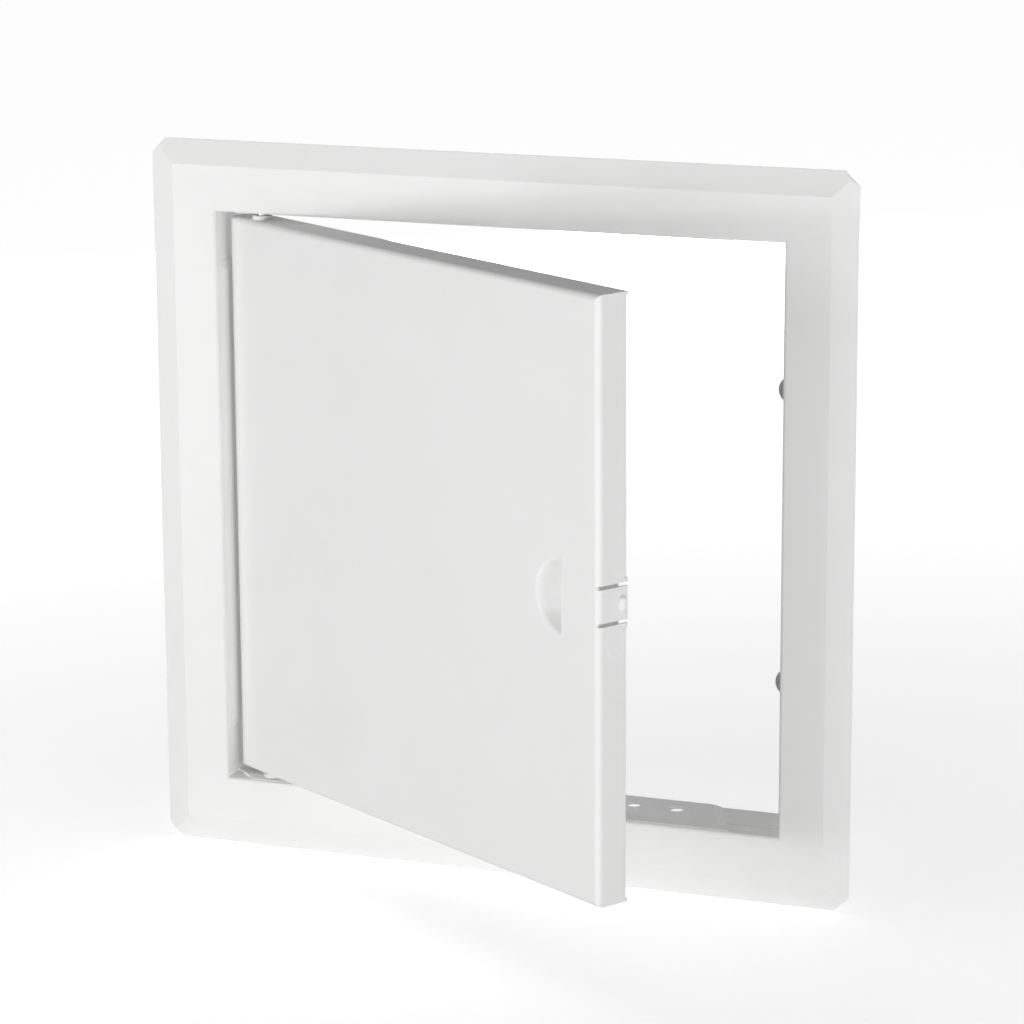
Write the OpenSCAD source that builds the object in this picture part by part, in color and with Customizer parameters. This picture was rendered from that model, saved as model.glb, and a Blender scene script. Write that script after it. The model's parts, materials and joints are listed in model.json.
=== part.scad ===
// Hinged sheet-steel access panel: a flanged frame lined with collar strips, and a folded door that swings
// on two pivot pins and is held shut by a spring tongue. X runs across, Y into the wall, Z up. The origin
// is the middle of the opening, on the plane of the wall that the rim stands on.

/* [Opening] */
// Clear width of the opening inside the collar
opening_w = 200; // [160:1:400]
// Clear height of the opening inside the collar
opening_h = 200; // [170:1:400]
// Depth of the collar, from the front of the flange
collar_d = 25.5; // [22:0.5:60]
// Thickness of the frame's sheet
frame_t = 0.8; // [0.6:0.1:1]

/* [Flange] */
// Width of the flange, from the collar strips to its outer edge
flange_w = 24.2; // [20:0.1:40]
// Width of the bevelled rim, counted in the flange's width
rim_w = 8.5; // [5:0.5:12]
// How far the rim falls back towards the wall
rim_drop = 2.5; // [1.5:0.1:4]
// Height of the trimmed edge that stands on the wall
rim_edge = 0.4; // [0.2:0.1:0.5]
// Length of the clipped outer corners along each edge
corner_clip = 5; // [2:0.5:8]
// Outside radius of the rolled inner edge
roll_r = 1.2; // [1.1:0.1:2.2]
// Depth of the lip behind the rolled edge
lip_d = 9; // [8.5:0.1:10]
// Length over which the lip tapers towards each corner of the opening
corner_taper = 7; // [3:0.5:9]
// How far the lip is cut back at the corners
corner_cut = 0.5; // [0.3:0.1:2]

/* [Collar strips] */
// Depth at which the strips start inside the lip
strip_front = 1.5; // [1:0.1:2]
// Distance from the corner to a plain strip end
lap_start = 17; // [14:0.5:24]
// Length of the lap between a plain strip end and a corner tab
lap_l = 13; // [10:0.5:16]
// Length over which the strips thin out at the front and at their plain ends
lead_l = 3; // [1.5:0.1:4]
// Thickness left at the thinned edges
lead_edge = 0.2; // [0.1:0.05:0.3]
// How far the plain ends of the cross strips slant, in degrees
end_slant = 22; // [0:1:25]
// Inside radius of the corner tabs' bends
tab_r = 0.5; // [0.4:0.1:1.5]
// Space between the lip and the corner tabs
tab_gap = 0.3; // [0.3:0.1:1]
// Length of the tapered relief in front of a corner tab
taper_l = 8; // [3:0.5:9]
// Diameter of the fixing holes
fix_d = 5.2; // [3.2:0.1:6]
// Distance from the corner to the nearest fixing hole
fix_inset = 40; // [34:0.5:46]
// Distance between the two fixing holes at each end
fix_pitch = 15.5; // [10:0.5:25]
// Depth of the fixing holes, from the front of the flange
fix_depth = 16.5; // [13:0.5:18]

/* [Door stops] */
// Radius of the half-round door stops
stop_r = 4.8; // [4.5:0.1:8]
// How far the stops stand out from the collar
stop_reach = 4.2; // [3.5:0.1:5.5]
// Thickness of the stops
stop_t = 2.6; // [2:0.1:4]
// Distance between the two stops
stop_spacing = 100; // [60:1:120]
// Width of the stem that holds a stop in the collar
stem_w = 5; // [4:0.1:6]
// Thickness of the stem
stem_t = 1.4; // [1:0.1:1.8]
// Width of the foot behind the collar
foot_w = 8; // [7:0.1:10]
// Thickness of the foot behind the collar
foot_t = 1.2; // [0.8:0.1:2]

/* [Door] */
// Thickness of the door's sheet
door_t = 0.8; // [0.6:0.1:1]
// Depth of the door's folded edges
fold_d = 12; // [11.5:0.1:14]
// Depth of the fold on the hinge side, which has to swing clear of the collar
hinge_fold_d = 9.5; // [8:0.1:10]
// Outside radius of the door's bends
bend_r = 2; // [1.5:0.1:2.4]
// Width of the return along the door's free edge
return_w = 14; // [13:0.5:16]
// Outside radius of the return's bend
return_r = 1.2; // [1.1:0.1:1.5]
// Gap above and below the door
door_gap = 1.75; // [1:0.05:3]
// Gap between the door and the hinge side
hinge_gap = 1.7; // [1.5:0.1:4]
// Gap between the door and the latch side
latch_gap = 1.3; // [1:0.1:1.6]
// Gap between two folds at a corner of the door
corner_gap = 0.25; // [0.2:0.05:1]
// How far the door stands open, in degrees
door_open = 31; // [0:1:120]

/* [Finger scoop] */
// Radius of the half-round scoop
scoop_r = 13.2; // [9:0.1:16]
// Depth of the scoop at its straight edge
scoop_d = 6.5; // [4:0.1:8]
// Radius of the scoop's rounded rim
scoop_edge_r = 2.2; // [1.2:0.1:3]
// Distance from the scoop's straight edge to the door's free edge
scoop_inset = 18; // [10:0.5:40]

/* [Latch] */
// Height of the spring tongue
tongue_h = 10.8; // [8:0.1:20]
// Width of the slit on each side of the tongue
slit_w = 1.25; // [0.8:0.05:2]
// How far the slits cut in from the door's free edge
slit_inset = 1.1; // [0.9:0.1:1.4]
// How far the window behind the tongue cuts into the return
window_d = 4.4; // [3.5:0.1:6]
// How far the window reaches beyond the slits
window_margin = 1.65; // [1:0.05:3]
// Straight stretch between the door's bend and the tongue's root
root_gap = 1; // [0.6:0.1:1.5]
// Distance from the door's face to the catch bead
bead_depth = 9.6; // [9:0.1:10.2]
// Radius of the catch bead
bead_r = 1.5; // [1.2:0.1:1.6]
// Length of the catch bead
bead_l = 5; // [3.6:0.1:8]
// How far the bead reaches into the collar
catch_reach = 0.5; // [0.2:0.05:0.5]

/* [Hinge] */
// Diameter of the hinge pins
pin_d = 3; // [2.4:0.1:3.4]
// Distance from the door's hinge edge to the pins
pin_inset = 12.8; // [9:0.1:14]
// Distance from the door's face to the pins
pin_depth = 5; // [4.8:0.1:5.6]
// Diameter of the pin heads
head_d = 5.6; // [4.5:0.1:5.6]
// Thickness of the pin heads
head_h = 1.2; // [0.6:0.1:1.5]
// Diameter of the pivot washers
washer_d = 6.6; // [6:0.1:9.4]
// Diameter of the retaining rings
ring_d = 6.6; // [5:0.1:6.8]
// Thickness of the retaining rings
ring_h = 0.6; // [0.4:0.1:1]
// Length of pin that shows beyond its ring
pin_tail = 1; // [0.5:0.1:2]

/* [Fits] */
// Radial clearance where one piece turns in another
turning_fit = 0.05; // [0.02:0.01:0.1]
// Clearance round pieces that are held fast
seat_fit = 0.03; // [0.01:0.01:0.05]
// Space between faces that pass each other
running_gap = 0.3; // [0.2:0.05:0.4]

/* [Hidden] */
$fn = 96;
// Overlap that lets a cut break cleanly through a face
cut = 1;

half_w = opening_w / 2;
half_h = opening_h / 2;
lip_x = half_w + frame_t;
lip_z = half_h + frame_t;
flange_h = rim_drop + rim_edge;
rim_start = flange_w - rim_w;
rim_slope = rim_drop / rim_w;
rim_inner = rim_start - frame_t * tan(atan(rim_slope) / 2);
rim_foot = rim_inner + (flange_h - frame_t) / rim_slope;
strip_l = collar_d - strip_front;
tab_front = lip_d + tab_gap;
tab_outer_r = tab_r + frame_t;
tab_l = lap_start + lap_l;
lead_a = atan((frame_t - lead_edge) / lead_l);

door_w = opening_w - hinge_gap - latch_gap;
door_h = opening_h - 2 * door_gap;
fold_end = door_h / 2 - door_t - corner_gap;
bend_end = door_h / 2 - bend_r - corner_gap;
pivot_x = pin_inset + hinge_gap - half_w;
scoop_ball_r = (scoop_r * scoop_r + scoop_d * scoop_d) / (2 * scoop_d) - scoop_edge_r;
scoop_ball_y = scoop_d - scoop_ball_r;
scoop_x = door_w - scoop_inset;
root_y = bend_r + root_gap;
root_x = door_w - door_t / 2;
bead_x = door_w + latch_gap + catch_reach - bead_r;
strike_w = 2 * (bead_r + running_gap);
strike_h = bead_l + 2 * running_gap;
stop_front = fold_d + running_gap;

pin_r = pin_d / 2;
washer_h = door_gap - running_gap;
ring_top = door_h / 2 - door_t - running_gap;
pin_end = ring_top - ring_h - pin_tail;
pin_chamfer = pin_tail / 2;

white_coat = [0.93, 0.93, 0.92];
bright_zinc = [0.70, 0.71, 0.72];
white_nylon = [0.96, 0.96, 0.94];
grey_rubber = [0.45, 0.46, 0.47];

// Moves depths counted from the front of the flange into the wall's frame
module from_front() {
  translate([0, -flange_h, 0]) children();
}

// Places the door's own frame: x from its hinge edge, y back from its face, z from its middle
module on_door() {
  from_front()
    translate([pivot_x, pin_depth, 0])
      rotate([0, 0, -door_open])
        translate([-pin_inset, -pin_depth, 0])
          children();
}

// Quarter turn of bent sheet in section, from the x axis to the y axis
module bend_section(r, t) {
  intersection() {
    translate([r, r])
      difference() {
        circle(r);
        circle(r - t);
      }
    square(r);
  }
}

// Flange in section: x runs outwards from the lip, y back from the front
module rail_section() {
  translate([roll_r, 0]) square([rim_start - roll_r, frame_t]);
  polygon([
    [rim_start, 0], [flange_w, rim_drop], [flange_w, flange_h],
    [rim_foot, flange_h], [rim_inner, frame_t], [rim_inner, 0]
  ]);
  bend_section(roll_r, frame_t);
  translate([0, roll_r]) square([frame_t, lip_d - roll_r]);
}

// One side of the flange, above the opening, with mitred ends: its lip tapers where a tab passes behind it
module rail(half_l, height, tapered) {
  difference() {
    intersection() {
      translate([0, 0, height])
        rotate([0, -90, 0])
          linear_extrude(2 * (half_l + flange_w), center = true)
            rail_section();
      rotate([90, 0, 0])
        linear_extrude(4 * lip_d, center = true)
          polygon([
            [-half_l, height], [half_l, height],
            [half_l + flange_w, height + flange_w], [-half_l - flange_w, height + flange_w]
          ]);
    }
    for (side = tapered)
      translate([side * half_l, lip_d, height - cut])
        linear_extrude(roll_r + 2 * cut)
          polygon([
            [-side * corner_taper, 0], [0, -corner_cut], [side * roll_r, -corner_cut],
            [side * roll_r, cut], [-side * corner_taper, cut]
          ]);
  }
}

// Outline of the flange with its clipped corners
module clipped_outline() {
  x = lip_x + flange_w;
  z = lip_z + flange_w;
  rotate([90, 0, 0])
    linear_extrude(4 * lip_d, center = true)
      polygon([
        [corner_clip - x, -z], [x - corner_clip, -z], [x, corner_clip - z], [x, z - corner_clip],
        [x - corner_clip, z], [corner_clip - x, z], [-x, z - corner_clip], [-x, corner_clip - z]
      ]);
}

// Stamped front flange with bevelled rim, clipped corners and rolled inner edge
module surround() {
  color(white_coat)
    from_front()
      difference() {
        intersection() {
          union() {
            rail(lip_x, lip_z, [1]);
            rotate([0, 90, 0]) rail(lip_z, lip_x, []);
            rotate([0, 180, 0]) rail(lip_x, lip_z, [-1]);
            rotate([0, 270, 0]) rail(lip_z, lip_x, [-1, 1]);
          }
          clipped_outline();
        }
        for (z = [-1, 1])
          translate([pivot_x, pin_depth, z * lip_z])
            cylinder(h = 4 * frame_t, r = pin_r + seat_fit, center = true);
      }
}

// Corner tab in section, in the corner between the x and y axes, with its bend
module tab_section() {
  bend_section(tab_outer_r, frame_t);
  translate([0, tab_outer_r]) square([frame_t, tab_l + frame_t - tab_outer_r]);
}

// Clears the lip in front of a corner tab: x from the tab's outer face, y back from the front
module tab_relief() {
  translate([0, 0, -tab_l - cut])
    linear_extrude(2 * (tab_l + cut))
      polygon([
        [-cut, strip_front - cut], [tab_outer_r + taper_l, strip_front - cut],
        [tab_outer_r + taper_l, strip_front], [tab_outer_r, tab_front], [-cut, tab_front]
      ]);
}

// Thins the front edge of a strip above the opening: inner is the height of the strip's inner face
module front_lead(half_l, inner) {
  translate([-half_l, strip_front + lead_l, inner])
    rotate([-lead_a, 0, 0])
      translate([0, -2 * lead_l, -2 * lead_l])
        cube([2 * half_l, 2 * lead_l, 2 * lead_l]);
}

// Trims and thins the plain end of a strip above the opening, where its front corner is at x
module plain_end(x, inner, slant) {
  translate([x, strip_front, inner])
    rotate([0, 0, slant]) {
      translate([0, -strip_l, -cut]) cube([tab_l, 3 * strip_l, frame_t + 2 * cut]);
      translate([-lead_l, -strip_l, 0])
        rotate([0, -lead_a, 0])
          translate([0, 0, -2 * lead_l])
            cube([2 * lead_l, 3 * strip_l, 2 * lead_l]);
    }
}

// Strip above the opening: a corner tab at its hinge end, plain at its latch end
module cross_strip() {
  outer = half_w + 2 * frame_t;
  color(white_coat)
    from_front()
      difference() {
        translate([-outer, strip_front, lip_z])
          rotate([-90, 0, 0])
            linear_extrude(strip_l) {
              tab_section();
              translate([tab_outer_r, 0])
                square([outer + half_w - lap_start - tab_outer_r, frame_t]);
            }
        translate([-outer, 0, half_h]) tab_relief();
        front_lead(outer, half_h);
        plain_end(half_w - lap_start, half_h, end_slant);
        for (side = [-1, 1], x = [half_w - fix_inset, half_w - fix_inset - fix_pitch])
          translate([side * x, fix_depth, half_h - cut])
            cylinder(h = frame_t + 2 * cut, d = fix_d);
        translate([pivot_x, pin_depth, half_h - cut])
          cylinder(h = frame_t + 2 * cut, r = pin_r + seat_fit);
      }
}

module collar_top() {
  cross_strip();
}

module collar_bottom() {
  mirror([0, 0, 1]) cross_strip();
}

// Plain strip on the hinge side, between the two corner tabs
module collar_hinge_side() {
  end = half_h - lap_start;
  color(white_coat)
    from_front()
      rotate([0, -90, 0])
        difference() {
          translate([-end, strip_front, half_w]) cube([2 * end, strip_l, frame_t]);
          front_lead(half_h, half_w);
          for (side = [0, 1]) mirror([side, 0, 0]) plain_end(end, half_w, 0);
        }
}

// Strip on the latch side, with a corner tab at each end and slots for the bead and the stops
module collar_latch_side() {
  outer = half_h + 2 * frame_t;
  color(white_coat)
    from_front()
      difference() {
        translate([lip_x, strip_front, 0])
          rotate([-90, 0, 0])
            linear_extrude(strip_l) {
              for (side = [0, 1])
                mirror([0, side])
                  translate([0, -outer])
                    rotate(90)
                      tab_section();
              translate([-frame_t, tab_outer_r - outer]) square([frame_t, 2 * (outer - tab_outer_r)]);
            }
        for (side = [0, 1])
          mirror([0, 0, side])
            translate([half_w, 0, -outer])
              rotate([0, -90, 0])
                tab_relief();
        rotate([0, 90, 0]) front_lead(outer, half_w);
        translate([half_w - cut, bead_depth - strike_w / 2, -strike_h / 2])
          cube([frame_t + 2 * cut, strike_w, strike_h]);
        for (side = [-1, 1])
          translate([half_w - cut, 0, side * stop_spacing / 2])
            translate([0, stop_front + (stop_t - stem_t) / 2 - seat_fit, -stem_w / 2 - seat_fit])
              cube([frame_t + 2 * cut, stem_t + 2 * seat_fit, stem_w + 2 * seat_fit]);
      }
}

// Half-round buffer that the closed door comes to rest on, with its stem and foot in the collar
module door_stop() {
  color(grey_rubber)
    from_front()
      translate([0, stop_front, stop_spacing / 2]) {
        intersection() {
          translate([half_w - stop_reach + stop_r, 0, 0])
            rotate([-90, 0, 0])
              cylinder(h = stop_t, r = stop_r);
          translate([half_w - stop_reach, 0, -stop_r]) cube([stop_reach, stop_t, 2 * stop_r]);
        }
        translate([half_w - cut, (stop_t - stem_t) / 2, -stem_w / 2])
          cube([cut + frame_t, stem_t, stem_w]);
        translate([lip_x, 0, -foot_w / 2]) cube([foot_t, stop_t, foot_w]);
      }
}

module upper_door_stop() {
  door_stop();
}

module lower_door_stop() {
  mirror([0, 0, 1]) door_stop();
}

// Headed pivot pin, turned about its own axis
module hinge_pin() {
  seat = lip_z + frame_t;
  head_r = head_d / 2;
  color(bright_zinc)
    from_front()
      translate([pivot_x, pin_depth, 0])
        rotate_extrude()
          polygon([
            [0, pin_end], [pin_r - pin_chamfer, pin_end], [pin_r, pin_end + pin_chamfer],
            [pin_r, seat], [head_r, seat], [head_r, seat + head_h / 2],
            [head_r - head_h / 2, seat + head_h], [0, seat + head_h]
          ]);
}

module upper_hinge_pin() {
  hinge_pin();
}

module lower_hinge_pin() {
  mirror([0, 0, 1]) hinge_pin();
}

// Flat ring round a pivot, from its underside upwards
module pivot_ring(outer_d, hole_r, h) {
  difference() {
    cylinder(h = h, d = outer_d);
    translate([0, 0, -cut]) cylinder(h = h + 2 * cut, r = hole_r);
  }
}

// Push-on ring that keeps a pin in the door's fold
module retaining_ring() {
  color(bright_zinc)
    from_front()
      translate([pivot_x, pin_depth, ring_top - ring_h])
        pivot_ring(ring_d, pin_r + seat_fit, ring_h);
}

module upper_retaining_ring() {
  retaining_ring();
}

module lower_retaining_ring() {
  mirror([0, 0, 1]) retaining_ring();
}

// Washer that lies on the door's top fold
module upper_pivot_washer() {
  color(white_nylon)
    on_door()
      translate([pin_inset, pin_depth, door_h / 2])
        pivot_ring(washer_d, pin_r + turning_fit, washer_h);
}

// Washer that lies on the bottom strip, under the door
module lower_pivot_washer() {
  color(white_nylon)
    from_front()
      translate([pivot_x, pin_depth, -half_h])
        pivot_ring(washer_d, pin_r + turning_fit, washer_h);
}

// Bend and folded edge of the door in section: x inwards from the outside, y back from the face
module fold_section(depth) {
  bend_section(bend_r, door_t);
  translate([0, bend_r]) square([door_t, depth - bend_r]);
}

// Outline of the door seen from above, rounded like its side bends and clipped behind the hinge edge
module door_outline() {
  for (x = [bend_r, door_w - bend_r]) translate([x, bend_r]) circle(bend_r);
  translate([bend_r, 0]) square([door_w - 2 * bend_r, bend_r]);
  polygon([
    [0, bend_r], [door_w, bend_r], [door_w, fold_d],
    [fold_d - hinge_fold_d, fold_d], [0, hinge_fold_d]
  ]);
}

// Folded edge along the top of the door, over its whole width
module cross_fold() {
  intersection() {
    translate([door_w / 2, 0, door_h / 2])
      rotate([0, 90, 0])
        linear_extrude(door_w, center = true)
          fold_section(fold_d);
    linear_extrude(door_h, center = true) door_outline();
  }
}

// Folded edge up the hinge side of the door, which stops short of the corners
module side_fold() {
  linear_extrude(2 * bend_end, center = true) fold_section(hinge_fold_d);
  translate([0, bend_r, -fold_end]) cube([door_t, hinge_fold_d - bend_r, 2 * fold_end]);
}

// Folded edge up the free side, with a return that has a window behind the spring tongue
module free_fold() {
  land = tongue_h / 2 + slit_w + window_margin;
  linear_extrude(2 * bend_end, center = true) bend_section(bend_r, door_t);
  translate([0, bend_r, -fold_end]) cube([door_t, fold_d - return_r - bend_r, 2 * fold_end]);
  translate([0, fold_d - return_r, corner_gap - land]) cube([door_t, return_r, 2 * (land - corner_gap)]);
  difference() {
    linear_extrude(2 * fold_end, center = true) {
      translate([0, fold_d]) mirror([0, 1]) bend_section(return_r, door_t);
      translate([return_r, fold_d - door_t]) square([return_w - return_r, door_t]);
    }
    translate([-cut, fold_d - return_r, -land]) cube([window_d + cut, return_r + cut, 2 * land]);
  }
}

// Space in front of the bowl's sheet in section, or in front of the sheet's back when grown by its thickness
module scoop_space(grow) {
  translate([0, scoop_ball_y]) circle(scoop_ball_r + grow);
  difference() {
    polygon([
      [0, scoop_ball_y], [scoop_r + scoop_edge_r, scoop_ball_y], [scoop_r + scoop_edge_r, grow],
      [scoop_r, grow], [scoop_r, scoop_edge_r]
    ]);
    translate([scoop_r, scoop_edge_r]) circle(scoop_edge_r - grow);
  }
}

// Sheet of the bowl in section, from its middle to its rounded rim: y runs back from the door's face
module scoop_section() {
  intersection() {
    difference() {
      scoop_space(door_t);
      scoop_space(0);
    }
    square([scoop_r + scoop_edge_r, scoop_d + door_t]);
  }
}

// Half of a dished bowl, open along its straight edge
module scoop_bowl() {
  intersection() {
    translate([scoop_x, 0, 0])
      rotate([-90, 0, 0])
        rotate_extrude()
          scoop_section();
    translate([scoop_x - 2 * scoop_r, -cut, -2 * scoop_r])
      cube([2 * scoop_r, scoop_d + door_t + 2 * cut, 4 * scoop_r]);
  }
}

// Half-round hole in the door's face in front of the bowl
module scoop_hole() {
  intersection() {
    translate([scoop_x, -cut, 0])
      rotate([-90, 0, 0])
        cylinder(h = door_t + 2 * cut, r = scoop_r);
    translate([scoop_x - scoop_r, -cut, -scoop_r])
      cube([scoop_r, door_t + 2 * cut, 2 * scoop_r]);
  }
}

// Slits and cut-out that free the spring tongue
module tongue_window() {
  deep = fold_d + cut;
  wide = bend_r + cut;
  for (side = [-1, 1])
    translate([door_w - slit_inset, -cut, side * (tongue_h + slit_w) / 2 - slit_w / 2])
      cube([slit_inset + cut, deep + cut, slit_w]);
  translate([door_w - bend_r, root_y, -tongue_h / 2])
    cube([wide, deep - root_y, tongue_h]);
  translate([root_x, root_y, -tongue_h / 2])
    cylinder(h = tongue_h, r = door_t / 2 + turning_fit);
}

// Door: one folded tray with its finger scoop, pin holes and the window of the latch
module door_panel() {
  color(white_coat)
    on_door()
      difference() {
        union() {
          difference() {
            translate([bend_r, 0, bend_r - door_h / 2])
              cube([door_w - 2 * bend_r, door_t, door_h - 2 * bend_r]);
            scoop_hole();
          }
          scoop_bowl();
          cross_fold();
          mirror([0, 0, 1]) cross_fold();
          side_fold();
          translate([door_w, 0, 0]) mirror([1, 0, 0]) free_fold();
        }
        tongue_window();
        for (side = [-1, 1])
          translate([pin_inset, pin_depth, side * door_h / 2])
            cylinder(h = 4 * door_t, r = pin_r + turning_fit, center = true);
      }
}

// Spring tongue with its catch bead, which turns about its rounded root
module latch_tongue() {
  color(white_coat)
    on_door() {
      translate([root_x, root_y, -tongue_h / 2]) cylinder(h = tongue_h, d = door_t);
      translate([door_w - door_t, root_y, -tongue_h / 2])
        cube([door_t, fold_d - root_y, tongue_h]);
      intersection() {
        translate([bead_x, bead_depth, 0]) {
          cylinder(h = bead_l - 2 * bead_r, r = bead_r, center = true);
          for (side = [-1, 1]) translate([0, 0, side * (bead_l / 2 - bead_r)]) sphere(bead_r);
        }
        translate([door_w - door_t, 0, -bead_l]) cube([4 * bead_r, fold_d, 2 * bead_l]);
      }
    }
}

surround();
collar_top();
collar_bottom();
collar_hinge_side();
collar_latch_side();
upper_door_stop();
lower_door_stop();
upper_hinge_pin();
lower_hinge_pin();
upper_retaining_ring();
lower_retaining_ring();
upper_pivot_washer();
lower_pivot_washer();
door_panel();
latch_tongue();
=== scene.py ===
# %% [markdown]
# # A hinged steel access panel
# The solids of this panel come from a CAD model: a flanged frame, four collar strips, two rubber
# stops, the hinge hardware, a folded door and its spring tongue. Everything here is built round
# them. This lesson gives them their finishes, adds the small pieces that a fitter would notice,
# and sets up the lights and the camera that show the panel with its door part open.

# %% Load the solids
import bpy
import json
import math
from mathutils import Euler, Matrix, Vector


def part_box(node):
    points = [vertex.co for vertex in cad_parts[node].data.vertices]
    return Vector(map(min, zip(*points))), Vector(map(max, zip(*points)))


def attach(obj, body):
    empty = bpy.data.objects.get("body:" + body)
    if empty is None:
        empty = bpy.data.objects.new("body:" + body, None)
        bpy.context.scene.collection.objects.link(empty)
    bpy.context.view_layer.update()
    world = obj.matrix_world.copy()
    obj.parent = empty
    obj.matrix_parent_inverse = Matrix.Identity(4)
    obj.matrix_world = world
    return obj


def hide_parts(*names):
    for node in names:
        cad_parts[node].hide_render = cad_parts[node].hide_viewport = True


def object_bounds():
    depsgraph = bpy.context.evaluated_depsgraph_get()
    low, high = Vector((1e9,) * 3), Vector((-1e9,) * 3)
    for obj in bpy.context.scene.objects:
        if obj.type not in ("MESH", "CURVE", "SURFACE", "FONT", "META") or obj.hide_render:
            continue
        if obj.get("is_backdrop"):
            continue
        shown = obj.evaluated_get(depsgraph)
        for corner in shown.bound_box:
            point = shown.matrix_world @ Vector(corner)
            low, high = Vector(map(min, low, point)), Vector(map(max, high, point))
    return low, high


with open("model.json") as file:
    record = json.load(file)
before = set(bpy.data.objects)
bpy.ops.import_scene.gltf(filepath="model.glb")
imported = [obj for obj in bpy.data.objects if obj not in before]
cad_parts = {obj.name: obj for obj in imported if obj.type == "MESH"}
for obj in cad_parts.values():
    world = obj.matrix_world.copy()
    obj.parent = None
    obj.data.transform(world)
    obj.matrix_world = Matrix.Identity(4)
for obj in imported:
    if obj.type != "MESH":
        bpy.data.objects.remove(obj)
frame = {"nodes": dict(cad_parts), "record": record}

nodes = frame["nodes"]
cad_low, cad_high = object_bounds()
cad_size = [round(1000 * (high - low), 1) for low, high in zip(cad_low, cad_high)]
print("solids:", len(nodes), "box in mm:", cad_size)

# %% [markdown]
# ## The camera
# The panel is seen from the right and a little above, with a long lens that keeps its edges nearly
# parallel. A camera can be aimed with a constraint, but a place and three angles are easier to
# read and stay the same each time. The lens is given for a sensor 36 mm wide and a square picture.

# %% Place the camera
LENS_MM, SENSOR_MM = 136.27, 36.0
CAMERA_PLACE = (0.44951, -1.19219, 0.31137)
CAMERA_TURN_DEG = (76.3901, 0.2925, 20.3602)
NEAREST, FURTHEST = 0.05, 50.0
camera_data = bpy.data.cameras.new("panel_camera")
camera_data.lens = LENS_MM
camera_data.sensor_width = SENSOR_MM
camera_data.clip_start = NEAREST
camera_data.clip_end = FURTHEST
camera = bpy.data.objects.new("panel_camera", camera_data)
camera.location = CAMERA_PLACE
camera.rotation_euler = Euler([math.radians(turn) for turn in CAMERA_TURN_DEG], "XYZ")
bpy.context.scene.collection.objects.link(camera)
bpy.context.scene.camera = camera
bpy.context.scene.view_settings.view_transform = "Standard"
print("camera at", CAMERA_PLACE, "with a lens of", LENS_MM, "mm")

# %% [markdown]
# ## The floor
# The panel stands on its lower edge, on a plain white floor that carries its soft shadow. A curved
# paper backdrop would do as well, but a flat floor looks the same from every side. It starts as a
# plane, is divided in edit mode and moved down to just below the flange.

# %% Make the floor
FLOOR_SIZE = 8.0
FLOOR_CUTS = 3
FLOOR_CLEARANCE = 0.0002
FLOOR_HEIGHT = cad_low.z - FLOOR_CLEARANCE
bpy.ops.object.select_all(action="DESELECT")
bpy.ops.mesh.primitive_plane_add(size=FLOOR_SIZE, location=(0.0, 0.0, 0.0))
floor = bpy.context.object
floor.name = "floor"
bpy.ops.object.mode_set(mode="EDIT")
bpy.ops.mesh.select_all(action="SELECT")
bpy.ops.mesh.subdivide(number_cuts=FLOOR_CUTS)
bpy.ops.transform.translate(value=(0.0, 0.0, FLOOR_HEIGHT))
bpy.ops.object.mode_set(mode="OBJECT")
floor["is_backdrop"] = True
print("floor at", round(1000 * FLOOR_HEIGHT, 1), "mm")

# %% [markdown]
# ## White without glare
# More light would turn the floor white, but it would also wash out the panel. So the floor is
# ordinary matt white for the light that bounces about, and only what the camera or a reflection
# sees of it gets a plain white glow on top.

# %% Mix matt white and glow
PLAIN_WHITE = (1.0, 1.0, 1.0, 1.0)
MATT_WHITE = (0.9, 0.9, 0.9, 1.0)
floor_paint = bpy.data.materials.new("white_floor")
floor_paint.use_nodes = True
tree = floor_paint.node_tree
tree.nodes.clear()
floor_out = tree.nodes.new("ShaderNodeOutputMaterial")
floor_matt = tree.nodes.new("ShaderNodeBsdfDiffuse")
floor_matt.inputs["Color"].default_value = MATT_WHITE
floor_glow = tree.nodes.new("ShaderNodeEmission")
floor_glow.inputs["Color"].default_value = PLAIN_WHITE
floor_both = tree.nodes.new("ShaderNodeAddShader")
tree.links.new(floor_matt.outputs[0], floor_both.inputs[0])
tree.links.new(floor_glow.outputs[0], floor_both.inputs[1])
tree.links.new(floor_both.outputs[0], floor_out.inputs["Surface"])
floor.data.materials.append(floor_paint)
print("floor paint:", floor_paint.name)

# %% [markdown]
# ## Room for the shadow
# Less light reaches the floor further away, so one level of glow would leave the far floor grey or
# hide the shadow. The glow therefore grows with the distance from the panel. Close to it, where
# the shadow falls, it is low enough for the shadow to show.

# %% Let the glow grow with the distance
NEAR, FAR = 0.2, 0.7
NEAR_GLOW, FAR_GLOW = 0.60, 0.80
floor_place = tree.nodes.new("ShaderNodeTexCoord")
floor_distance = tree.nodes.new("ShaderNodeVectorMath")
floor_distance.operation = "LENGTH"
floor_white = tree.nodes.new("ShaderNodeMapRange")
floor_white.inputs["From Min"].default_value = NEAR
floor_white.inputs["From Max"].default_value = FAR
floor_white.inputs["To Min"].default_value = NEAR_GLOW
floor_white.inputs["To Max"].default_value = FAR_GLOW
floor_rays = tree.nodes.new("ShaderNodeLightPath")
floor_seen = tree.nodes.new("ShaderNodeMath")
floor_seen.operation = "MAXIMUM"
floor_level = tree.nodes.new("ShaderNodeMath")
floor_level.operation = "MULTIPLY"
tree.links.new(floor_place.outputs["Object"], floor_distance.inputs[0])
tree.links.new(floor_distance.outputs["Value"], floor_white.inputs["Value"])
tree.links.new(floor_rays.outputs["Is Camera Ray"], floor_seen.inputs[0])
tree.links.new(floor_rays.outputs["Is Glossy Ray"], floor_seen.inputs[1])
tree.links.new(floor_seen.outputs[0], floor_level.inputs[0])
tree.links.new(floor_white.outputs[0], floor_level.inputs[1])
tree.links.new(floor_level.outputs[0], floor_glow.inputs["Strength"])
print("floor glow near and far:", NEAR_GLOW, FAR_GLOW)

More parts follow.
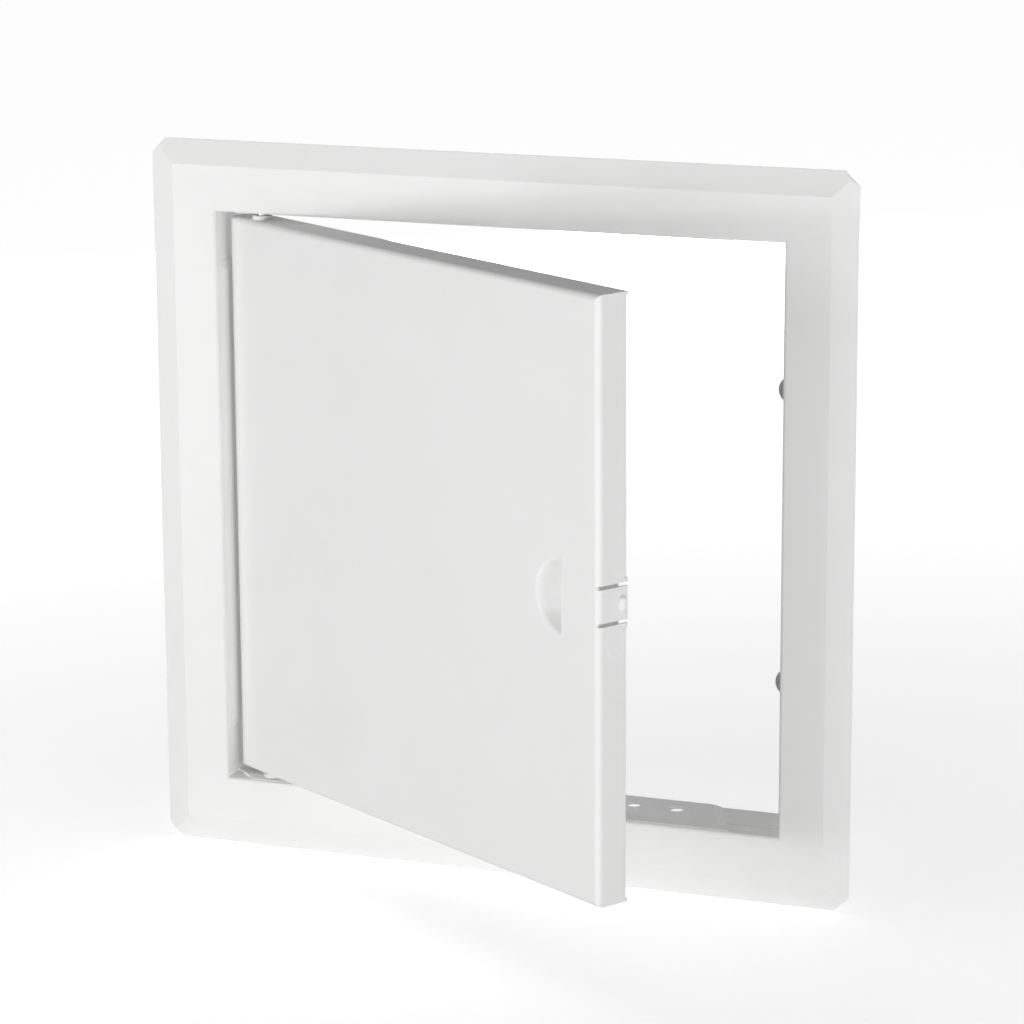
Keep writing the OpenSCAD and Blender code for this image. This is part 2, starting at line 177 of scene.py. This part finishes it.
# %% [markdown]
# ## The room
# Beyond the floor there is only the world. It works in the same way: the camera and reflections
# see plain white, and every other ray finds a dim even room, which fills the shadows a little from
# all sides.

# %% Set the surroundings
ROOM_LIGHT = 0.20
world = bpy.data.worlds.new("soft_room")
bpy.context.scene.world = world
world.use_nodes = True
tree = world.node_tree
tree.nodes.clear()
world_out = tree.nodes.new("ShaderNodeOutputWorld")
room_light = tree.nodes.new("ShaderNodeBackground")
room_light.inputs["Color"].default_value = PLAIN_WHITE
room_light.inputs["Strength"].default_value = ROOM_LIGHT
room_white = tree.nodes.new("ShaderNodeBackground")
room_white.inputs["Color"].default_value = PLAIN_WHITE
room_white.inputs["Strength"].default_value = 1.0
room_rays = tree.nodes.new("ShaderNodeLightPath")
room_seen = tree.nodes.new("ShaderNodeMath")
room_seen.operation = "MAXIMUM"
room_mix = tree.nodes.new("ShaderNodeMixShader")
tree.links.new(room_rays.outputs["Is Camera Ray"], room_seen.inputs[0])
tree.links.new(room_rays.outputs["Is Glossy Ray"], room_seen.inputs[1])
tree.links.new(room_seen.outputs[0], room_mix.inputs["Fac"])
tree.links.new(room_light.outputs[0], room_mix.inputs[1])
tree.links.new(room_white.outputs[0], room_mix.inputs[2])
tree.links.new(room_mix.outputs[0], world_out.inputs["Surface"])
print("room light:", ROOM_LIGHT)

# %% [markdown]
# ## Lights
# White sheet metal only shows its folds where the light changes from face to face. A soft light
# close to the left makes the flange fade from left to right. Two long low lights reach the door
# and its free edge from both sides, and leave the faces that look up darker. A weaker one fills in
# from the floor. Two more light the back. The one on the right stands well to the side, or it
# would shine into the hinge gap. A sun lamp would be simpler, but its shadows are too hard.

# %% Hang the lights
def soft_light(name, place, aim, width, height, watts):
    data = bpy.data.lights.new(name, "AREA")
    data.shape = "RECTANGLE"
    data.size = width
    data.size_y = height
    data.energy = watts
    light = bpy.data.objects.new(name, data)
    light.visible_camera = False
    light.location = place
    light.rotation_euler = (Vector(aim) - Vector(place)).to_track_quat("-Z", "Y").to_euler()
    bpy.context.scene.collection.objects.link(light)
    print(name, watts, "W")


soft_light("near_left_light", (-0.50, -0.75, 0.05), (-0.05, 0.0, 0.0), 0.5, 0.5, 2.6)
soft_light("low_left_light", (-0.75, -1.00, -0.06), (0.0, 0.0, -0.06), 0.9, 0.1, 1.85)
soft_light("low_right_light", (1.10, -0.80, -0.05), (0.0, 0.0, -0.05), 0.7, 0.12, 6.1)
soft_light("floor_light", (0.10, -0.80, -0.09), (0.05, 0.0, -0.05), 0.9, 0.06, 1.4)
soft_light("back_left_light", (-0.75, 1.05, -0.05), (0.0, 0.0, -0.05), 0.9, 0.12, 7.5)
soft_light("back_right_light", (1.10, 0.95, -0.05), (0.0, 0.0, -0.05), 0.7, 0.12, 2.8)

# %% [markdown]
# ## Uneven skins
# No finish is the same all over. Powder coat melts into a satin skin with a fine unevenness, like
# the peel of an orange, zinc comes out a little cloudy, and moulded rubber and nylon are mottled.
# Painting this would need an image file, so one node group makes it for all of them from noise.
# It puts out a height for the fine relief, a gloss and a slow change of shade.

# %% Open the group and its sockets
SKIN_SOCKETS = (("Vector", "INPUT", "NodeSocketVector"), ("Grain", "INPUT", "NodeSocketFloat"),
                ("Smoothest", "INPUT", "NodeSocketFloat"),
                ("Roughest", "INPUT", "NodeSocketFloat"), ("Height", "OUTPUT", "NodeSocketFloat"),
                ("Gloss", "OUTPUT", "NodeSocketFloat"), ("Shade", "OUTPUT", "NodeSocketFloat"))
skin_group = bpy.data.node_groups.new("uneven_skin", "ShaderNodeTree")
for name, way, kind in SKIN_SOCKETS:
    skin_group.interface.new_socket(name, in_out=way, socket_type=kind)
skin_in = skin_group.nodes.new("NodeGroupInput")
skin_out = skin_group.nodes.new("NodeGroupOutput")
print("sockets of", skin_group.name, len(SKIN_SOCKETS))

# %% [markdown]
# ## Three sizes of noise
# The grain sets the size of the finest noise. The other two are coarser by a fixed share of it, so
# one number scales the whole skin.

# %% Add the noises
def skin_noise(detail, grain_share):
    noise = skin_group.nodes.new("ShaderNodeTexNoise")
    noise.inputs["Detail"].default_value = detail
    scale = skin_group.nodes.new("ShaderNodeMath")
    scale.operation = "MULTIPLY"
    scale.inputs[1].default_value = grain_share
    skin_group.links.new(skin_in.outputs["Vector"], noise.inputs["Vector"])
    skin_group.links.new(skin_in.outputs["Grain"], scale.inputs[0])
    skin_group.links.new(scale.outputs[0], noise.inputs["Scale"])
    return noise


fine = skin_noise(1.0, 1.0)
broad = skin_noise(2.0, 0.12)
cloud = skin_noise(3.0, 0.02)
print("nodes in the group:", len(skin_group.nodes))

# %% [markdown]
# ## What the group puts out
# The height is fine noise with some of the broad one. Noise stays near its middle, so gloss and
# shade spread the part between two limits over their whole range.

# %% Turn the noise into height, gloss and shade
BROAD_WEIGHT = 0.6
NOISE_LOW, NOISE_HIGH = 0.3, 0.7
skin_height = skin_group.nodes.new("ShaderNodeMath")
skin_height.operation = "MULTIPLY_ADD"
skin_height.inputs[1].default_value = BROAD_WEIGHT
skin_gloss = skin_group.nodes.new("ShaderNodeMapRange")
skin_shade = skin_group.nodes.new("ShaderNodeMapRange")
for spread in (skin_gloss, skin_shade):
    spread.inputs["From Min"].default_value = NOISE_LOW
    spread.inputs["From Max"].default_value = NOISE_HIGH
skin_group.links.new(broad.outputs["Fac"], skin_height.inputs[0])
skin_group.links.new(fine.outputs["Fac"], skin_height.inputs[2])
skin_group.links.new(broad.outputs["Fac"], skin_gloss.inputs["Value"])
skin_group.links.new(skin_in.outputs["Smoothest"], skin_gloss.inputs["To Min"])
skin_group.links.new(skin_in.outputs["Roughest"], skin_gloss.inputs["To Max"])
skin_group.links.new(cloud.outputs["Fac"], skin_shade.inputs["Value"])
for result, name in ((skin_height, "Height"), (skin_gloss, "Gloss"), (skin_shade, "Shade")):
    skin_group.links.new(result.outputs[0], skin_out.inputs[name])
print("links in the group:", len(skin_group.links))

# %% [markdown]
# ## Finishes
# Four finishes cover the whole panel: white powder coat on all the sheet steel, bright zinc on the
# pins and rings, white nylon on the washers and grey rubber on the stops. Each could be built by
# hand in the shader editor. As they differ only in numbers, one function makes them: two close
# shades mixed by the group, its gloss, and its height through a bump that is a few hundredths of a
# millimetre deep.

# %% Write the recipe of a finish
BUMP_DEPTH = 0.00004


def finish(name, dark, light, grain, bump, roughness, metallic=0.0, specular=0.5):
    material = bpy.data.materials.new(name)
    material.use_nodes = True
    tree = material.node_tree
    shader = tree.nodes["Principled BSDF"]
    shader.inputs["Metallic"].default_value = metallic
    shader.inputs["Specular IOR Level"].default_value = specular
    place = tree.nodes.new("ShaderNodeTexCoord")
    skin = tree.nodes.new("ShaderNodeGroup")
    skin.node_tree = skin_group
    skin.inputs["Grain"].default_value = grain
    skin.inputs["Smoothest"].default_value = roughness[0]
    skin.inputs["Roughest"].default_value = roughness[1]
    shades = tree.nodes.new("ShaderNodeMix")
    shades.data_type = "RGBA"
    shades.inputs["A"].default_value = (*dark, 1.0)
    shades.inputs["B"].default_value = (*light, 1.0)
    relief = tree.nodes.new("ShaderNodeBump")
    relief.inputs["Strength"].default_value = bump
    relief.inputs["Distance"].default_value = BUMP_DEPTH
    tree.links.new(place.outputs["Object"], skin.inputs["Vector"])
    tree.links.new(skin.outputs["Shade"], shades.inputs["Factor"])
    tree.links.new(shades.outputs["Result"], shader.inputs["Base Color"])
    tree.links.new(skin.outputs["Gloss"], shader.inputs["Roughness"])
    tree.links.new(skin.outputs["Height"], relief.inputs["Height"])
    tree.links.new(relief.outputs["Normal"], shader.inputs["Normal"])
    print("finish:", name)
    return material


# %% Mix the four finishes
white_coat = finish("white_powder_coat", (0.852, 0.852, 0.846), (0.868, 0.868, 0.864),
                    grain=1400.0, bump=0.6, roughness=(0.42, 0.50), specular=0.35)
bright_zinc = finish("bright_zinc", (0.54, 0.55, 0.57), (0.68, 0.69, 0.70),
                     grain=900.0, bump=0.25, roughness=(0.24, 0.40), metallic=1.0)
white_nylon = finish("white_nylon", (0.77, 0.77, 0.73), (0.83, 0.83, 0.80),
                     grain=2200.0, bump=0.3, roughness=(0.44, 0.56))
grey_rubber = finish("grey_rubber", (0.36, 0.36, 0.365), (0.44, 0.44, 0.445),
                     grain=2600.0, bump=0.5, roughness=(0.68, 0.82), specular=0.3)

# %% [markdown]
# ## From slot to finish
# The CAD record says for every solid which finish slot it has, so the finishes are handed out from
# that list. Giving them one by one would work too, but a solid could then be forgotten.

# %% Give every solid its finish
FINISH_OF_SLOT = {"white_coat": white_coat, "bright_zinc": bright_zinc,
                  "white_nylon": white_nylon, "grey_rubber": grey_rubber}
for part in frame["record"]["subparts"]:
    solid = nodes[part["node"]]
    solid.data.materials.clear()
    solid.data.materials.append(FINISH_OF_SLOT[part["material_slot"]])
    print(part["node"], "->", part["material_slot"])

# %% [markdown]
# ## Push-on rings
# Each hinge pin is kept in the door by a spring-steel ring that is pushed on once and never comes
# off: a flat washer whose inner edge is cut into teeth that are bent up and bite into the pin. It
# could be turned in one spin, but the teeth are not round, so it starts as a flat disc. The disc is
# inset and its middle is taken out.

# %% Model one push-on ring
RING_STEPS = 72
ROOT_SHARE = 0.62
ring_low, ring_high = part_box("upper_retaining_ring")
RING_RADIUS = (ring_high.x - ring_low.x) / 2
TOOTH_ROOT = ROOT_SHARE * RING_RADIUS
bpy.ops.object.select_all(action="DESELECT")
bpy.ops.mesh.primitive_circle_add(vertices=RING_STEPS, radius=RING_RADIUS, fill_type="NGON")
ring = bpy.context.object
bpy.ops.object.mode_set(mode="EDIT")
bpy.ops.mesh.select_all(action="SELECT")
bpy.ops.mesh.inset(thickness=RING_RADIUS - TOOTH_ROOT)
bpy.ops.mesh.delete(type="FACE")
bpy.ops.object.mode_set(mode="OBJECT")
print("disc with a hole:", len(ring.data.polygons), "faces")

# %% [markdown]
# ## The ring's teeth
# Six teeth stand round the hole, one in every 60 degrees, with a narrow slot between neighbours.
# Each is a run of edges on the rim of the hole. The runs are picked by their angle, drawn inwards
# to the pin and bent up.

# %% Find the edges of the teeth
TOOTH_PITCH_DEG = 60.0
TOOTH_FROM_DEG, TOOTH_TO_DEG = 10.0, 50.0
RIM_TOLERANCE = 0.00005


def on_tooth(edge, mesh):
    ends = [mesh.vertices[i].co for i in edge.vertices]
    if any(abs(end.length - TOOTH_ROOT) > RIM_TOLERANCE for end in ends):
        return False
    middle = (ends[0] + ends[1]) / 2
    turn = math.degrees(math.atan2(middle.y, middle.x)) % TOOTH_PITCH_DEG
    return TOOTH_FROM_DEG < turn < TOOTH_TO_DEG


bpy.context.tool_settings.mesh_select_mode = (False, True, False)
for edge in ring.data.edges:
    edge.select = on_tooth(edge, ring.data)
print("tooth edges:", sum(edge.select for edge in ring.data.edges))

# %% Pull out the teeth
TOOTH_TIP = 0.00152
TOOTH_RISE = 0.00018
TOOTH_SHRINK = TOOTH_TIP / TOOTH_ROOT
bpy.ops.object.mode_set(mode="EDIT")
bpy.ops.mesh.extrude_region()
bpy.ops.transform.resize(value=(TOOTH_SHRINK, TOOTH_SHRINK, 1.0), center_override=(0.0, 0.0, 0.0))
bpy.ops.transform.translate(value=(0.0, 0.0, TOOTH_RISE))
bpy.ops.object.mode_set(mode="OBJECT")
print("ring with teeth:", len(ring.data.polygons), "faces")

# %% [markdown]
# ## Thickness
# The ring is stamped from sheet, so a Solidify modifier gives it an even thickness and a small
# Bevel takes the sharpness off its edges, which then catch the light.

# %% Give the ring thickness and soft edges
RING_SHEET = 0.00035
RING_WEAR = 0.00004
WEAR_STEPS = 2
SMOOTH_BELOW = math.radians(35.0)
sheet = ring.modifiers.new("sheet", "SOLIDIFY")
sheet.thickness = RING_SHEET
sheet.offset = 0.0
bpy.ops.object.modifier_apply(modifier="sheet")
worn = ring.modifiers.new("worn", "BEVEL")
worn.width = RING_WEAR
worn.segments = WEAR_STEPS
worn.limit_method = "ANGLE"
bpy.ops.object.modifier_apply(modifier="worn")
bpy.ops.object.shade_smooth_by_angle(angle=SMOOTH_BELOW)
print("ring:", len(ring.data.polygons), "faces")

# %% [markdown]
# ## A ring on each pin
# The second ring is a copy with a mesh of its own. The upper one is turned over, because the teeth
# always point to the free end of the pin. Both take the place of the plain rings of the CAD model.

# %% Put a ring on each pin
ring.name = "upper_push_on_ring"
lower_ring = ring.copy()
lower_ring.data = ring.data.copy()
lower_ring.name = "lower_push_on_ring"
bpy.context.scene.collection.objects.link(lower_ring)
for piece, node, turn in ((ring, "upper_retaining_ring", 180.0),
                          (lower_ring, "lower_retaining_ring", 0.0)):
    low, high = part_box(node)
    middle = (low + high) / 2
    piece.data.transform(Matrix.Rotation(math.radians(turn), 4, "X"))
    piece.data.transform(Matrix.Translation(middle))
    piece.data.materials.append(bright_zinc)
    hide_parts(node)
    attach(piece, "frame")
    print(piece.name, "at", [round(1000 * v, 1) for v in middle])

# %% [markdown]
# ## Weld marks
# The collar strips are spot welded where a corner tab lies on a plain end. A spot weld leaves a
# shallow dent with a raised ring of metal round it, and the coat follows both. A bump in the
# material could hint at it, but real shape also shows at a slant. One mark is modelled as a thin
# round plate that is sunk into the sheet. Its top face gets three insets, each moved up or down a
# little.

# %% Start with a thin round plate
MARK_RADIUS = 0.00215
MARK_SINK = 0.0001
MARK_EDGES = 40
bpy.ops.object.select_all(action="DESELECT")
bpy.ops.mesh.primitive_cylinder_add(vertices=MARK_EDGES, radius=MARK_RADIUS, depth=MARK_SINK)
mark = bpy.context.object
bpy.ops.object.mode_set(mode="EDIT")
bpy.ops.mesh.select_all(action="SELECT")
bpy.ops.transform.translate(value=(0.0, 0.0, -MARK_SINK / 2))
bpy.ops.mesh.select_all(action="DESELECT")
bpy.ops.object.mode_set(mode="OBJECT")
print("round plate:", len(mark.data.polygons), "faces")

# %% Shape its top
MARK_STEPS = ((0.00030, 0.00010), (0.00045, 0.00002), (0.00050, -0.00008))
FACES_UP = 0.9
bpy.context.tool_settings.mesh_select_mode = (False, False, True)
for face in mark.data.polygons:
    face.select = face.normal.z > FACES_UP
bpy.ops.object.mode_set(mode="EDIT")
for width, rise in MARK_STEPS:
    bpy.ops.mesh.inset(thickness=width)
    bpy.ops.transform.translate(value=(0.0, 0.0, rise))
bpy.ops.object.mode_set(mode="OBJECT")
bpy.ops.object.shade_smooth_by_angle(angle=SMOOTH_BELOW)
print("weld mark:", len(mark.data.polygons), "faces")

# %% [markdown]
# ## Where the marks sit
# Each of the four laps has two marks, one behind the other. A ninth sits on the door's free edge,
# where a faint round mark shows below the latch. Typing nine places would do, but the laps mirror
# each other, so two loops list them with the way that each mark faces.

# %% List the places
LAP_DEPTHS = (0.0097, 0.0172)
SIDE_LAP = 0.0770
CROSS_LAPS = (0.0745, 0.0730)
DOOR_OPEN = math.radians(31.0)
EDGE_MARK = Vector((0.07303, -0.09174, -0.0150))
left_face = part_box("collar_top")[0].x
top_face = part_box("collar_latch_side")[1].z
places = []
for depth, cross_lap in zip(LAP_DEPTHS, CROSS_LAPS):
    for side in (1.0, -1.0):
        on_left = Vector((left_face, depth, side * SIDE_LAP))
        across = Vector((cross_lap, depth, side * top_face))
        places.append(("lap_weld", "frame", on_left, Vector((-1.0, 0.0, 0.0))))
        places.append(("lap_weld", "frame", across, Vector((0.0, 0.0, side))))
edge_way = Vector((math.cos(DOOR_OPEN), -math.sin(DOOR_OPEN), 0.0))
places.append(("edge_mark", "door", EDGE_MARK, edge_way))
print("places:", len(places))

# %% Copy the mark to each place
for number, (name, body, place, way) in enumerate(places):
    copy = mark.copy()
    copy.data = mark.data.copy()
    copy.name = "%s_%d" % (name, number + 1)
    bpy.context.scene.collection.objects.link(copy)
    copy.data.transform(way.to_track_quat("Z", "Y").to_matrix().to_4x4())
    copy.data.transform(Matrix.Translation(place))
    copy.data.materials.append(white_coat)
    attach(copy, body)
bpy.data.objects.remove(mark)
print("marks:", len(places))

# %% [markdown]
# ## Closed corners
# The door is folded from one sheet, so at each corner two folds meet with a narrow gap. The gap is
# run full of weld, ground smooth and coated over, so the corner looks round and closed. A bead
# could be swept along the gap, but its end at the front is round two ways. So it is an eighth of a
# ball, cut from a sphere by three planes, drawn out a little and thickened.

# %% Model the round end of a bead
DOOR_SHEET = 0.0008
DOOR_BEND = 0.002
CORNER_GAP = 0.00025
BEAD_RADIUS = 0.00197
BEAD_SKIRT = 1.2 * CORNER_GAP
BEAD_WALL = 0.6 * DOOR_SHEET
ON_PLANE = 1e-7
KEPT_SIDES = ((1.0, 0.0, 0.0), (0.0, -1.0, 0.0), (0.0, 0.0, 1.0))


def bead_end(name):
    bpy.ops.object.select_all(action="DESELECT")
    bpy.ops.mesh.primitive_uv_sphere_add(segments=32, ring_count=16, radius=BEAD_RADIUS)
    bead = bpy.context.object
    bead.name = name
    bpy.ops.object.mode_set(mode="EDIT")
    for side in KEPT_SIDES:
        bpy.ops.mesh.select_all(action="SELECT")
        bpy.ops.mesh.bisect(plane_co=(0.0, 0.0, 0.0), plane_no=side, clear_inner=True)
    bpy.ops.mesh.select_all(action="DESELECT")
    bpy.ops.object.mode_set(mode="OBJECT")
    bpy.context.tool_settings.mesh_select_mode = (False, True, False)
    for edge in bead.data.edges:
        edge.select = all(abs(bead.data.vertices[i].co.z) < ON_PLANE for i in edge.vertices)
    bpy.ops.object.mode_set(mode="EDIT")
    bpy.ops.mesh.extrude_region()
    bpy.ops.transform.translate(value=(0.0, 0.0, -BEAD_SKIRT))
    bpy.ops.object.mode_set(mode="OBJECT")
    wall = bead.modifiers.new("wall", "SOLIDIFY")
    wall.thickness = BEAD_WALL
    wall.offset = -1.0
    bpy.ops.object.modifier_apply(modifier="wall")
    print(name, len(bead.data.polygons), "faces")
    return bead


free_bead = bead_end("free_bead")
hinge_bead = bead_end("hinge_bead")

# %% [markdown]
# ## Along the fold
# Behind its round end the bead runs back along the fold as a thin bar that fills the gap. The fold
# on the hinge side is shallower than the one on the free side, so each gets a bar of its own
# length, added to the bead in edit mode.

# %% Run each bead on along its fold
FREE_FOLD = 0.012
HINGE_FOLD = 0.0095
BAR_THICKNESS = 0.95 * DOOR_SHEET


def run_on(bead, fold):
    length = fold - DOOR_BEND
    middle = (DOOR_BEND - DOOR_SHEET / 2, length / 2, DOOR_BEND - DOOR_SHEET - CORNER_GAP / 2)
    bpy.ops.object.select_all(action="DESELECT")
    bead.select_set(True)
    bpy.context.view_layer.objects.active = bead
    bpy.ops.object.mode_set(mode="EDIT")
    bpy.ops.mesh.select_all(action="DESELECT")
    bpy.ops.mesh.primitive_cube_add(size=1.0)
    bpy.ops.transform.resize(value=(BAR_THICKNESS, length, CORNER_GAP),
                             center_override=(0.0, 0.0, 0.0))
    bpy.ops.transform.translate(value=middle)
    bpy.ops.object.mode_set(mode="OBJECT")
    bpy.ops.object.shade_smooth_by_angle(angle=SMOOTH_BELOW)
    print(bead.name, "runs on for", round(1000 * length, 1), "mm")


run_on(free_bead, FREE_FOLD)
run_on(hinge_bead, HINGE_FOLD)

# %% [markdown]
# ## Into the corners
# The door hangs on its pins, part open. Its place is found from the pivot: back to the pin's place
# in the closed door, a turn, and out to the pivot. Each bead is mirrored for its corner, and a
# mirrored mesh is inside out, so its faces are flipped where one mirror is not undone by another.

# %% Set the beads into the four corners of the door
DOOR_WIDTH, DOOR_HEIGHT = 0.197, 0.1965
PIN_INSET, PIN_DEPTH = 0.0128, 0.005
pivot = Vector(frame["record"]["behaviour"]["joints"][0]["pos_m"])
door_place = (Matrix.Translation(pivot) @ Matrix.Rotation(-DOOR_OPEN, 4, "Z")
              @ Matrix.Translation((-PIN_INSET, -PIN_DEPTH, 0.0)))
for bead, side, edge, across in ((free_bead, "free", DOOR_WIDTH, 1.0),
                                 (hinge_bead, "hinge", 0.0, -1.0)):
    for end, up in (("upper", 1.0), ("lower", -1.0)):
        copy = bead.copy()
        copy.data = bead.data.copy()
        copy.name = "%s_%s_corner_bead" % (end, side)
        bpy.context.scene.collection.objects.link(copy)
        corner = (edge - across * DOOR_BEND, DOOR_BEND, up * (DOOR_HEIGHT / 2 - DOOR_BEND))
        copy.data.transform(Matrix.Diagonal((across, 1.0, up, 1.0)))
        if across * up < 0.0:
            copy.data.flip_normals()
        copy.data.transform(door_place @ Matrix.Translation(corner))
        copy.data.materials.append(white_coat)
        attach(copy, "door")
        print(copy.name, "set")
    bpy.data.objects.remove(bead)

# %% [markdown]
# ## Done
# The box round the dressed panel is measured and its size is printed.

# %% Print the size of the dressed panel
low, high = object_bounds()
print("visual box in mm:", [round(1000 * (top - foot), 1) for foot, top in zip(low, high)])
